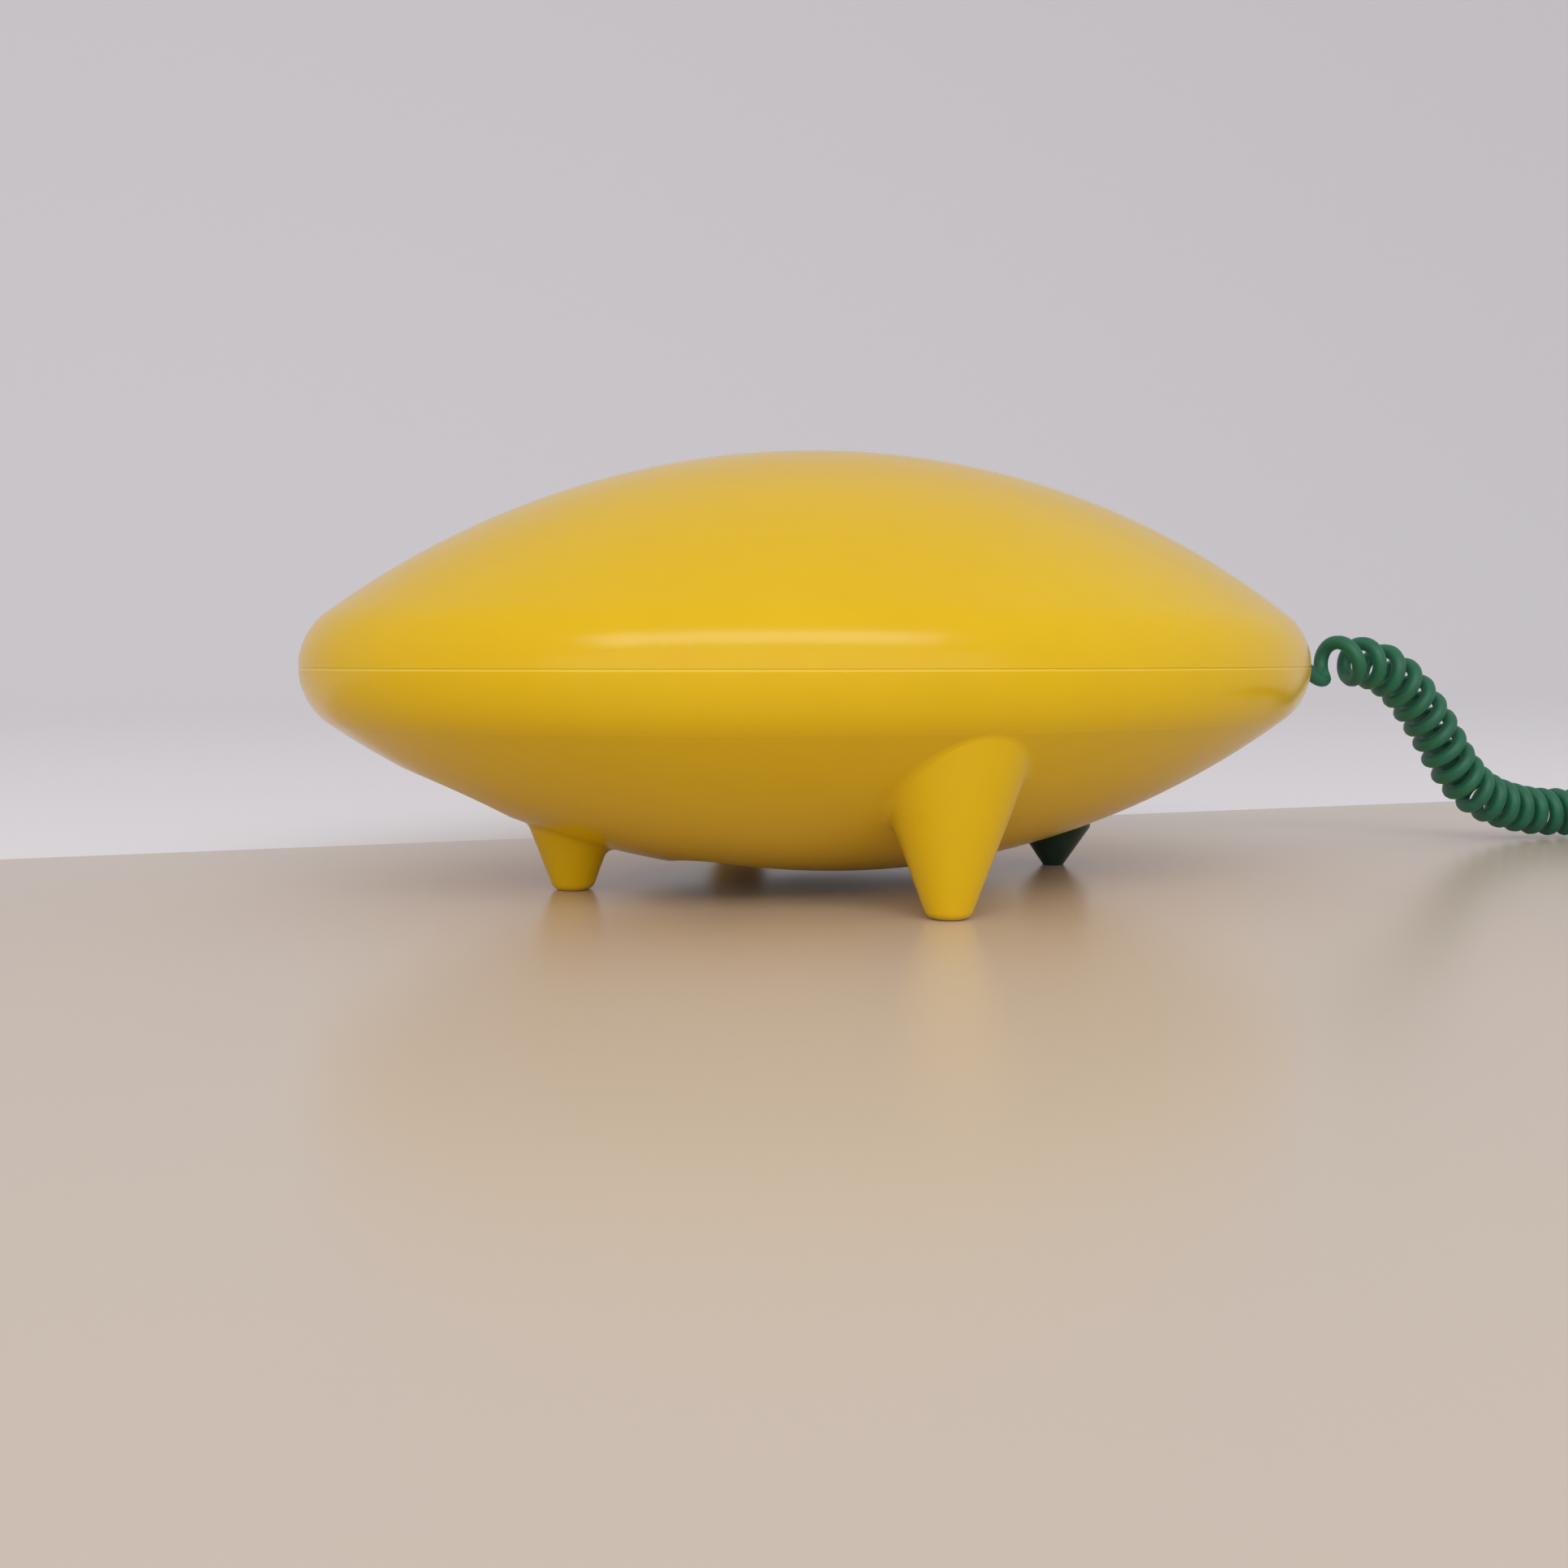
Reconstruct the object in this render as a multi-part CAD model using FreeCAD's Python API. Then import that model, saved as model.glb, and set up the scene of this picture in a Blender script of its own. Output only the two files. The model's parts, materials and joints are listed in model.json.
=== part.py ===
"""Lemon-shaped one-piece telephone on three moulded feet and a sprung hook plunger.

Millimetres. +Z is up and the table is at z = 0, under the middle of the body. +X runs to the
end where the cord leaves, and -Y is the side that faces the viewer. The keypad, earpiece and
mouthpiece are on the underside, so the telephone is lifted off its feet to be used.
"""
import FreeCAD, Part
import bisect
import math
import os

from FreeCAD import Matrix, Placement, Rotation, Vector

# Body: two half shells that meet in a level seam
LENGTH = 210.0
WIDTH = 156.0
SEAM_HEIGHT = 43.7
CROWN_RISE = 43.5
BELLY_CLEARANCE = 1.5
NOSE_RADIUS = 13.0
WALL = 2.6
SEAM_GROOVE = 0.25
TONGUE_INSET = 1.4
TONGUE_WALL = 1.0
TONGUE_HEIGHT = 2.0

# Gaps: pieces pushed together, pieces that move, screws in their holes
FIT = 0.15
RUNNING = 0.3
SCREW_FIT = 0.05

# Feet: one on each side and one towards each tip. The one towards the cord is the hook plunger
FOOT_FROM_TIP = 51.0
FOOT_FROM_SIDE = 20.5
FOOT_TIP_RADIUS = 3.8
FOOT_TIP_ROUND = 2.0
FOOT_SLOPE = 20.5
FOOT_FLOOR = 3.0
FOOT_BLEND = 2.0

# Hook plunger, its tower and its switch
PLUNGER_TIP_RADIUS = 2.2
PLUNGER_SLOPE = 34.0
PLUNGER_RADIUS = 8.0
PLUNGER_TRAVEL = 5.0
PLUNGER_FLANGE = 2.0
PLUNGER_FLANGE_REACH = 1.8
STEM_RADIUS = 2.0
TOWER_STEP_DROP = 18.7
TOWER_WALL = 2.0
SPRING_SPACE = 6.5
SPRING_WIRE = 0.8
SPRING_RADIUS = 5.5
SPRING_TURNS = 4
CAP_THICKNESS = 2.0
CAP_RIM = 4.0
CAP_RIM_WALL = 1.4
SWITCH_LENGTH = 18.0
SWITCH_WIDTH = 11.0
SWITCH_HEIGHT = 10.0

# Dial well, its plate and the keys
WELL_LENGTH = 62.0
WELL_WIDTH = 44.0
WELL_MIDDLE_X = -6.0
WELL_CORNER = 8.0
WELL_RIM = 2.5
WELL_DEPTH = 10.1
DIAL_THICKNESS = 2.0
KEY_MARGIN = 3.0
KEY_ROWS = 4
KEY_COLUMNS = 3
KEY_PITCH_X = 13.0
KEY_PITCH_Y = 14.0
KEY_LENGTH = 9.0
KEY_WIDTH = 10.0
KEY_CORNER = 2.0
KEY_TAPER = 0.4
KEY_EDGE = 0.7
KEY_REACH = 4.4
KEY_LIP = 1.0
KEY_LIP_THICKNESS = 1.2
KEY_TRAVEL = 1.5
KEY_NAMES = (("1", "2", "3"), ("4", "5", "6"), ("7", "8", "9"), ("star", "0", "hash"))

# Rubber mat and circuit board above the keys
MAT_THICKNESS = 1.0
MAT_MARGIN = 2.0
DOME_HEIGHT = 0.6
DOME_RADIUS = 3.0
BOARD_MARGIN = 9.0
BOARD_SHIFT = 1.0
BOARD_THICKNESS = 1.6
BOARD_SCREW_END = 6.0
BOARD_SCREW_SIDE = 2.7
BOSS_RADIUS = 2.5

# Slide switches for the bell and the dialling mode
SLIDE_FROM_END = 4.0
SLIDE_Y = 11.0
SLIDE_KNOB_LENGTH = 3.0
SLIDE_KNOB_WIDTH = 3.8
SLIDE_KNOB_REACH = 2.2
SLIDE_TRAVEL = 4.0
SLIDE_BODY_LENGTH = 6.4
SLIDE_BODY_WIDTH = 13.0
SLIDE_BODY_HEIGHT = 4.0

# Parts on the upper face of the board
CHIP_SIZE = (20.0, 7.0, 4.0)
CHIP_PLACE = (8.0, 8.0)
COIL_SIZE = (14.0, 12.0, 11.0)
COIL_PLACE = (-12.0, -12.0)
CAPACITOR_RADIUS = 3.2
CAPACITOR_HEIGHT = 9.0
CAPACITOR_PLACES = ((10.0, -10.0), (18.0, -10.0))

# Receiver under the far end, microphone under the cord end
RECEIVER_FROM_TIP = 28.0
RECEIVER_RADIUS = 12.0
RECEIVER_DEPTH = 11.0
RECEIVER_STEP = 4.0
RECEIVER_NECK = 2.5
RECEIVER_SEAT = 4.5
EAR_DISH_RADIUS = 11.5
EAR_DISH_DEPTH = 1.4
EAR_HOLE_RADIUS = 1.0
EAR_HOLE_RINGS = ((1, 0.0), (6, 3.6), (12, 7.2))
CUP_WALL = 1.7
CUP_HEIGHT = 5.5
HOLDER_WALL = 1.6
HOLDER_LIFT = 1.1
HOLDER_HOLE = 6.0
MICROPHONE_FROM_TIP = 23.0
MICROPHONE_RADIUS = 4.9
MICROPHONE_DEPTH = 6.4
MICROPHONE_SEAT = 3.6
MOUTH_DISH_RADIUS = 8.0
MOUTH_DISH_DEPTH = 1.0
MOUTH_HOLE_RADIUS = 0.9
MOUTH_HOLE_RINGS = ((1, 0.0), (6, 4.0))
BOOT_WALL = 2.6
BOOT_FLOOR = 1.0
BOOT_HOLE = 4.4

# Ringer disc under the crown, a steel bar on each side of the board
RINGER_X = 0.0
RINGER_RADIUS = 15.0
RINGER_THICKNESS = 6.0
RINGER_DROP = 4.2
RINGER_RING_WALL = 1.8
BAR_FROM_BOARD = 4.0
BAR_LENGTH = 48.0
BAR_WIDTH = 10.0
BAR_HEIGHT = 6.0
BAR_SEAT_Z = 25.0
BAR_SCREW_X = 18.0

# Screws
BODY_SCREW_FROM_TIP = 11.0
BODY_SCREW_X = 42.0
BODY_SCREW_Y = 44.0
BODY_SCREW_RADIUS = 1.5
BODY_SCREW_LENGTH = 14.0
BODY_SCREW_SEAT = 6.0
BODY_HEAD_RADIUS = 2.8
BODY_HEAD_HEIGHT = 2.0
BODY_BOSS_WALL = 1.6
SMALL_SCREW_RADIUS = 1.2
SMALL_SCREW_BITE = 6.4
SMALL_HEAD_RADIUS = 2.3
SMALL_HEAD_HEIGHT = 1.5
SCREW_END_ROOM = 1.0

# Cord: grommet, curls and plug
WIRE = 3.3
CURL_OUTSIDE = 12.2
CURL_PITCH = 5.5
OPEN_PITCH = 16.0
OPEN_REACH = 5.0
CURL_EASE = 9.0
CORD_LEAD = 14.0
PLUG_LEAD = 4.0
GROMMET_NECK = 2.6
GROMMET_FLANGE = 4.5
GROMMET_FLANGE_THICKNESS = 1.6
GROMMET_COLLAR = 3.4
GROMMET_COLLAR_END = 2.5
GROMMET_COLLAR_LENGTH = 1.4
PLUG_LENGTH = 14.0
PLUG_WIDTH = 9.6
PLUG_HEIGHT = 6.6
LATCH_LENGTH = 11.0
LATCH_WIDTH = 5.0
LATCH_THICKNESS = 1.0
LATCH_GAP = 0.9
WIRE_SIDES = 6
ROUTE_SHARE = 0.45
FRAME_STEP = 0.25

# The line the curls wind round, from the grommet down to the table and back along the side
CORD_ROUTE = (
    (131.0, 0.0, 45.6),
    (145.0, 0.0, 43.2),
    (157.0, 0.2, 31.5),
    (167.0, 1.0, 18.0),
    (176.0, 1.3, 10.8),
    (192.0, 2.0, 6.8),
    (205.0, 1.0, 6.5),
    (217.5, -7.0, 6.5),
    (221.0, -26.0, 6.5),
    (211.0, -46.0, 6.5),
    (196.0, -60.0, 6.5),
    (180.0, -74.0, 6.5),
)

HALF_LENGTH = LENGTH / 2
HALF_WIDTH = WIDTH / 2
BELLY_DROP = SEAM_HEIGHT - BELLY_CLEARANCE
WELL_START_X = WELL_MIDDLE_X - WELL_LENGTH / 2
WELL_END_X = WELL_MIDDLE_X + WELL_LENGTH / 2
KEYPAD_LENGTH = (KEY_ROWS - 1) * KEY_PITCH_X + KEY_LENGTH
KEYPAD_WIDTH = (KEY_COLUMNS - 1) * KEY_PITCH_Y + KEY_WIDTH
KEYPAD_X = WELL_END_X - KEY_MARGIN - KEYPAD_LENGTH / 2
SLIDE_X = WELL_START_X + SLIDE_FROM_END
BOARD_LENGTH = WELL_LENGTH
BOARD_WIDTH = WELL_WIDTH + 2 * BOARD_MARGIN
BOARD_MIDDLE_X = WELL_MIDDLE_X - BOARD_SHIFT
RECEIVER_X = RECEIVER_FROM_TIP - HALF_LENGTH
MICROPHONE_X = HALF_LENGTH - MICROPHONE_FROM_TIP
BAR_Y = BOARD_WIDTH / 2 + BAR_FROM_BOARD + BAR_WIDTH / 2
BODY_SCREW_PLACES = (
    (BODY_SCREW_FROM_TIP - HALF_LENGTH, 0.0),
    (-BODY_SCREW_X, BODY_SCREW_Y),
    (BODY_SCREW_X, BODY_SCREW_Y),
)
DIAL_SEAT_Z = BELLY_CLEARANCE + WELL_DEPTH
DIAL_TOP_Z = DIAL_SEAT_Z + DIAL_THICKNESS
KEY_LIP_Z = DIAL_TOP_Z + RUNNING
KEY_TOP_Z = KEY_LIP_Z + KEY_LIP_THICKNESS
DOME_Z = KEY_TOP_Z + KEY_TRAVEL + RUNNING
MAT_Z = DOME_Z + DOME_HEIGHT
BOARD_Z = MAT_Z + MAT_THICKNESS
BOARD_TOP_Z = BOARD_Z + BOARD_THICKNESS
FOOT_X = HALF_LENGTH - FOOT_FROM_TIP
FOOT_Y = HALF_WIDTH - FOOT_FROM_SIDE
PLUNGER_X = FOOT_X
PLUNGER_Y = 0.0
TOWER_STEP_Z = SEAM_HEIGHT - TOWER_STEP_DROP
FLANGE_Z = TOWER_STEP_Z + RUNNING + PLUNGER_TRAVEL
SPRING_Z = FLANGE_Z + PLUNGER_FLANGE
TOWER_TOP_Z = SPRING_Z + SPRING_SPACE
FLANGE_RADIUS = PLUNGER_RADIUS + PLUNGER_FLANGE_REACH
TOWER_RADIUS = FLANGE_RADIUS + RUNNING + TOWER_WALL
SWITCH_Z = TOWER_TOP_Z + CAP_THICKNESS
GROMMET_FACE_X = HALF_LENGTH + GROMMET_COLLAR_LENGTH
CURL_RADIUS = (CURL_OUTSIDE - WIRE) / 2
UP = Vector(0, 0, 1)


def crown_radius(inset, rise):
    """Radius of the large arc that runs from the pole down to the nose arc."""
    half = HALF_LENGTH - inset
    height = rise - inset
    nose = NOSE_RADIUS - inset
    return (half * half - 2 * half * nose + height * height) / (2 * (height - nose))


def half_lemon(inset, rise, side):
    """Solid half of the body: two arcs turned about Z, then drawn in to an oval. side is 1 or -1."""
    half = HALF_LENGTH - inset
    height = rise - inset
    nose = NOSE_RADIUS - inset
    crown = crown_radius(inset, rise)
    meet = math.atan2(crown - height, half - nose)
    halfway = (meet + math.pi / 2) / 2

    def crown_point(angle):
        return Vector(crown * math.cos(angle), 0, side * (height - crown + crown * math.sin(angle)))

    def nose_point(angle):
        return Vector(half - nose + nose * math.cos(angle), 0, side * nose * math.sin(angle))

    pole = crown_point(math.pi / 2)
    rim = nose_point(0)
    edges = [
        Part.Arc(pole, crown_point(halfway), crown_point(meet)).toShape(),
        Part.Arc(crown_point(meet), nose_point(meet / 2), rim).toShape(),
        Part.LineSegment(rim, Vector(0, 0, 0)).toShape(),
        Part.LineSegment(Vector(0, 0, 0), pole).toShape(),
    ]
    turned = Part.Face(Part.Wire(edges)).revolve(Vector(0, 0, 0), UP, 360)
    draw_in = Matrix()
    draw_in.scale(1, (HALF_WIDTH - inset) / half, 1)
    oval = turned.transformGeometry(draw_in)
    oval.translate(Vector(0, 0, SEAM_HEIGHT))
    return oval


def oval_prism(inset, low, high):
    """Upright prism on the seam's outline, drawn in by inset."""
    ellipse = Part.Ellipse(Vector(0, 0, low), HALF_LENGTH - inset, HALF_WIDTH - inset)
    return Part.Face(Part.Wire(ellipse.toShape())).extrude(Vector(0, 0, high - low))


def post(x, y, radius, low, high):
    return Part.makeCylinder(radius, high - low, Vector(x, y, low))


def block(x, y, size_x, size_y, low, high):
    return Part.makeBox(size_x, size_y, high - low, Vector(x - size_x / 2, y - size_y / 2, low))


def rounded_wire(x, y, size_x, size_y, corner, z):
    """Rounded rectangle about (x, y)."""
    half_x = size_x / 2
    half_y = size_y / 2
    slant = corner * (1 - math.sqrt(0.5))
    edges = []
    corners = ((1, 1), (-1, 1), (-1, -1), (1, -1))
    ends = []
    for index, (sx, sy) in enumerate(corners):
        side_point = Vector(x + sx * half_x, y + sy * (half_y - corner), z)
        level_point = Vector(x + sx * (half_x - corner), y + sy * half_y, z)
        middle = Vector(x + sx * (half_x - slant), y + sy * (half_y - slant), z)
        first, last = (side_point, level_point) if index % 2 == 0 else (level_point, side_point)
        ends.append((first, middle, last))
    for index, (first, middle, last) in enumerate(ends):
        edges.append(Part.Arc(first, middle, last).toShape())
        edges.append(Part.LineSegment(last, ends[(index + 1) % len(ends)][0]).toShape())
    return Part.Wire(edges)


def rounded_block(x, y, size_x, size_y, corner, low, high):
    face = Part.Face(rounded_wire(x, y, size_x, size_y, corner, low))
    return face.extrude(Vector(0, 0, high - low))


def turned_piece(profile, base=Vector(0, 0, 0), axis=UP):
    """Solid of revolution from (radius, height) points, set with its axis along the given one."""
    points = [Vector(radius, 0, height) for radius, height in profile]
    points.append(points[0])
    solid = Part.Face(Part.makePolygon(points)).revolve(Vector(0, 0, 0), UP, 360)
    solid.Placement = Placement(base, Rotation(UP, axis))
    return solid


def hole_rings(rings, radius, low, high):
    """Sound holes on rings about the local Z axis."""
    holes = []
    for count, ring in rings:
        for index in range(count):
            angle = 2 * math.pi * index / count
            holes.append(post(ring * math.cos(angle), ring * math.sin(angle), radius, low, high))
    return holes


def belly_place(x):
    """Placement on the belly's outer face at (x, 0), with local Z pointing into the body."""
    radius = crown_radius(0, BELLY_DROP)
    tilt = -math.degrees(math.asin(x / radius))
    z = SEAM_HEIGHT - (math.sqrt(radius * radius - x * x) - (radius - BELLY_DROP))
    return Placement(Vector(x, 0, z), Rotation(Vector(0, 1, 0), tilt))


def placed(shape, placement):
    moved = shape.copy()
    moved.Placement = placement.multiply(moved.Placement)
    return moved


def fused(shapes):
    return shapes[0].fuse(shapes[1:]).removeSplitter()


def foot_places():
    return [(0.0, -FOOT_Y), (-FOOT_X, 0.0), (0.0, FOOT_Y)]


def foot_cone(x, y, wall):
    """Cone of a foot: its outside, or its hollow when a wall is given."""
    spread = math.tan(math.radians(FOOT_SLOPE))
    low = FOOT_FLOOR if wall else 0.0
    high = SEAM_HEIGHT - WALL
    thin = wall / math.cos(math.radians(FOOT_SLOPE))
    tip = FOOT_TIP_RADIUS + low * spread - thin
    top = FOOT_TIP_RADIUS + high * spread - thin
    cone = Part.makeCone(tip, top, high - low, Vector(x, y, low))
    if wall:
        return cone
    lowest = [edge for edge in cone.Edges if edge.BoundBox.ZMax < low + FOOT_TIP_ROUND]
    return cone.makeFillet(FOOT_TIP_ROUND, lowest)


def blended_feet(body):
    """The belly and its feet with a hollow round where they meet."""
    top = FOOT_TIP_RADIUS + SEAM_HEIGHT * math.tan(math.radians(FOOT_SLOPE))
    meeting = []
    for edge in body.Edges:
        box = edge.BoundBox
        closed_round = edge.Length > 2 * math.pi * FOOT_TIP_RADIUS
        free = FOOT_TIP_ROUND < box.ZMin and box.ZMax < SEAM_HEIGHT
        for x, y in foot_places():
            near = math.hypot(box.Center.x - x, box.Center.y - y) < top / 2
            if near and free and closed_round:
                meeting.append(edge)
    return body.makeFillet(FOOT_BLEND, meeting)


def screw(x, y, seat, direction, radius, length, head_radius, head_height):
    """Round-headed screw whose head sits at z = seat and whose shank runs along direction, 1 or -1."""
    profile = [
        (0, -head_height),
        (head_radius * 0.7, -head_height),
        (head_radius, -head_height * 0.4),
        (head_radius, 0),
        (radius, 0),
        (radius, length - radius),
        (0, length),
    ]
    return turned_piece(profile, Vector(x, y, seat), Vector(0, 0, direction))


def board_screw_places():
    places = []
    for sx in (-1, 1):
        for sy in (-1, 1):
            end = BOARD_LENGTH / 2 - BOARD_SCREW_END
            side = BOARD_WIDTH / 2 - BOARD_SCREW_SIDE
            places.append((BOARD_MIDDLE_X + sx * end, sy * side))
    return places


def bar_screw_places():
    return [(x, y) for x in (-BAR_SCREW_X, BAR_SCREW_X) for y in (-BAR_Y, BAR_Y)]


def cup(inner, seat):
    """Thick disc up to the seat, with a round wall on it, in belly coordinates."""
    outer = inner + CUP_WALL
    top = seat + CUP_HEIGHT
    return turned_piece([(0, -WALL), (outer, -WALL), (outer, top), (inner, top), (inner, seat), (0, seat)])


def receiver_seat():
    return placed(cup(RECEIVER_RADIUS + RUNNING, RECEIVER_SEAT), belly_place(RECEIVER_X))


def microphone_seat():
    return placed(cup(MICROPHONE_RADIUS + BOOT_WALL + FIT, MICROPHONE_SEAT), belly_place(MICROPHONE_X))


def well_block(margin, low, high):
    """Prism on the dial well's outline, grown by a margin."""
    length = WELL_LENGTH + 2 * margin
    width = WELL_WIDTH + 2 * margin
    return rounded_block(WELL_MIDDLE_X, 0, length, width, WELL_CORNER + margin, low, high)


def cord_hole():
    start = HALF_LENGTH - 4 * WALL
    reach = 6 * WALL
    return Part.makeCylinder(GROMMET_NECK + FIT, reach, Vector(start, 0, SEAM_HEIGHT), Vector(1, 0, 0))


def body_boss_radius():
    return BODY_HEAD_RADIUS + RUNNING + BODY_BOSS_WALL


def make_lower_shell():
    cones = [foot_cone(x, y, 0.0) for x, y in foot_places()]
    outside = blended_feet(half_lemon(0.0, BELLY_DROP, -1).fuse(cones))
    hollow = half_lemon(WALL, BELLY_DROP, -1).fuse([foot_cone(x, y, WALL) for x, y in foot_places()])

    inside = [well_block(WELL_RIM, 0, DIAL_SEAT_Z), receiver_seat(), microphone_seat()]
    inside.append(post(PLUNGER_X, PLUNGER_Y, TOWER_RADIUS, 0, TOWER_TOP_Z))
    for x, y in board_screw_places():
        inside.append(post(x, y, BOSS_RADIUS, 0, BOARD_Z))
    for x, y in bar_screw_places():
        inside.append(post(x, y, BOSS_RADIUS, 0, BAR_SEAT_Z))
    for x, y in BODY_SCREW_PLACES:
        inside.append(post(x, y, body_boss_radius(), 0, SEAM_HEIGHT + WALL))
    shell = outside.cut(hollow.cut(inside))

    ring = oval_prism(TONGUE_INSET, SEAM_HEIGHT - WALL / 2, SEAM_HEIGHT + TONGUE_HEIGHT)
    tongue = ring.cut(oval_prism(TONGUE_INSET + TONGUE_WALL, 0, 2 * SEAM_HEIGHT))
    shell = shell.fuse(tongue)

    pilot = SMALL_SCREW_RADIUS + SCREW_FIT
    cuts = [
        well_block(0, -WALL, DIAL_SEAT_Z + WALL),
        post(PLUNGER_X, PLUNGER_Y, PLUNGER_RADIUS + RUNNING, 0, TOWER_TOP_Z + WALL),
        post(PLUNGER_X, PLUNGER_Y, FLANGE_RADIUS + RUNNING, TOWER_STEP_Z, TOWER_TOP_Z + WALL),
        cord_hole(),
    ]
    for x, y in board_screw_places():
        cuts.append(post(x, y, pilot, BOARD_Z - SMALL_SCREW_BITE - SCREW_END_ROOM, BOARD_Z + WALL))
    for x, y in bar_screw_places():
        cuts.append(post(x, y, pilot, BAR_SEAT_Z - SMALL_SCREW_BITE - SCREW_END_ROOM, BAR_SEAT_Z + WALL))
    for x, y in BODY_SCREW_PLACES:
        cuts.append(post(x, y, BODY_SCREW_RADIUS + FIT, 0, SEAM_HEIGHT + WALL))
        cuts.append(post(x, y, BODY_HEAD_RADIUS + RUNNING, 0, SEAM_HEIGHT - BODY_SCREW_SEAT))
    ear = [post(0, 0, EAR_DISH_RADIUS, -4 * WALL, EAR_DISH_DEPTH)]
    ear += hole_rings(EAR_HOLE_RINGS, EAR_HOLE_RADIUS, 0, RECEIVER_SEAT + FIT)
    mouth = [post(0, 0, MOUTH_DISH_RADIUS, -4 * WALL, MOUTH_DISH_DEPTH)]
    mouth += hole_rings(MOUTH_HOLE_RINGS, MOUTH_HOLE_RADIUS, 0, MICROPHONE_SEAT + FIT)
    cuts += [placed(cut, belly_place(RECEIVER_X)) for cut in ear]
    cuts += [placed(cut, belly_place(MICROPHONE_X)) for cut in mouth]
    return shell.cut(cuts)


def ringer_top():
    return SEAM_HEIGHT + CROWN_RISE - WALL - RINGER_DROP


def make_upper_shell():
    outside = half_lemon(0.0, CROWN_RISE, 1)
    rebate = oval_prism(TONGUE_INSET - FIT, SEAM_HEIGHT - WALL, SEAM_HEIGHT + TONGUE_HEIGHT + FIT)
    hollow = half_lemon(WALL, CROWN_RISE, 1).fuse(rebate)
    roof = SEAM_HEIGHT + CROWN_RISE
    ring_low = ringer_top() - RINGER_THICKNESS
    ring_inner = RINGER_RADIUS + FIT
    ring = post(RINGER_X, 0, ring_inner + RINGER_RING_WALL, ring_low, roof)
    ring = ring.cut(post(RINGER_X, 0, ring_inner, 0, ringer_top()))
    inside = [ring]
    for x, y in BODY_SCREW_PLACES:
        inside.append(post(x, y, body_boss_radius(), SEAM_HEIGHT - WALL, roof))
    shell = outside.cut(hollow.cut(inside))

    groove = oval_prism(-WALL, 0, SEAM_HEIGHT + SEAM_GROOVE).cut(oval_prism(SEAM_GROOVE, 0, 2 * SEAM_HEIGHT))
    cuts = [groove, cord_hole()]
    for x, y in BODY_SCREW_PLACES:
        bite = BODY_SCREW_LENGTH - BODY_SCREW_SEAT + SCREW_END_ROOM
        cuts.append(post(x, y, BODY_SCREW_RADIUS + SCREW_FIT, 0, SEAM_HEIGHT + bite))
    return shell.cut(cuts)


def stem_top():
    return SWITCH_Z + PLUNGER_TRAVEL + STEM_RADIUS


def make_plunger():
    """Cone that stands on the table, guide, flange under the spring and stem up to the switch."""
    cone_top = (PLUNGER_RADIUS - PLUNGER_TIP_RADIUS) / math.tan(math.radians(PLUNGER_SLOPE))
    profile = [
        (0, 0),
        (PLUNGER_TIP_RADIUS, 0),
        (PLUNGER_RADIUS, cone_top),
        (PLUNGER_RADIUS, FLANGE_Z),
        (FLANGE_RADIUS, FLANGE_Z),
        (FLANGE_RADIUS, SPRING_Z),
        (STEM_RADIUS, SPRING_Z),
        (STEM_RADIUS, stem_top()),
        (0, stem_top()),
    ]
    return turned_piece(profile, Vector(PLUNGER_X, PLUNGER_Y, 0))


def make_spring_cap():
    """Cap that shuts the tower: a lid, a rim round the outside and a hole for the stem."""
    inner = TOWER_RADIUS + FIT
    outer = inner + CAP_RIM_WALL
    low = TOWER_TOP_Z - CAP_RIM
    profile = [
        (STEM_RADIUS + RUNNING, TOWER_TOP_Z),
        (inner, TOWER_TOP_Z),
        (inner, low),
        (outer, low),
        (outer, SWITCH_Z),
        (STEM_RADIUS + RUNNING, SWITCH_Z),
    ]
    return turned_piece(profile, Vector(PLUNGER_X, PLUNGER_Y, 0))


def make_hook_switch():
    """Switch on the tower's cap, with a bore for the stem."""
    top = SWITCH_Z + SWITCH_HEIGHT
    bore_top = stem_top() + RUNNING
    case = rounded_block(PLUNGER_X, PLUNGER_Y, SWITCH_LENGTH, SWITCH_WIDTH, STEM_RADIUS, SWITCH_Z, top)
    return case.cut(post(PLUNGER_X, PLUNGER_Y, STEM_RADIUS + RUNNING, 0, bore_top))


def key_places():
    """Names and centres of the keys, row by row from the receiver's end, as read from below."""
    places = {}
    for row, names in enumerate(KEY_NAMES):
        for column, name in enumerate(names):
            x = KEYPAD_X + (row - (KEY_ROWS - 1) / 2) * KEY_PITCH_X
            y = ((KEY_COLUMNS - 1) / 2 - column) * KEY_PITCH_Y
            places[name] = (x, y)
    return places


def make_key(x, y):
    """Tapered cap that shows in the well, its neck in the plate and the lip that keeps it there."""
    tip_z = DIAL_SEAT_Z - KEY_REACH
    tip = rounded_wire(x, y, KEY_LENGTH - 2 * KEY_TAPER, KEY_WIDTH - 2 * KEY_TAPER, KEY_CORNER, tip_z)
    root = rounded_wire(x, y, KEY_LENGTH, KEY_WIDTH, KEY_CORNER, DIAL_SEAT_Z)
    cap = Part.makeLoft([tip, root], True, True)
    lowest = [edge for edge in cap.Edges if edge.BoundBox.ZMax < tip_z + FIT]
    cap = cap.makeFillet(KEY_EDGE, lowest)
    neck = rounded_block(x, y, KEY_LENGTH, KEY_WIDTH, KEY_CORNER, DIAL_SEAT_Z, KEY_LIP_Z)
    lip = block(x, y, KEY_LENGTH + 2 * KEY_LIP, KEY_WIDTH + 2 * KEY_LIP, KEY_LIP_Z, KEY_TOP_Z)
    return fused([cap, neck, lip])


def slide_places():
    return {"bell": -SLIDE_Y, "mode": SLIDE_Y}


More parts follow.
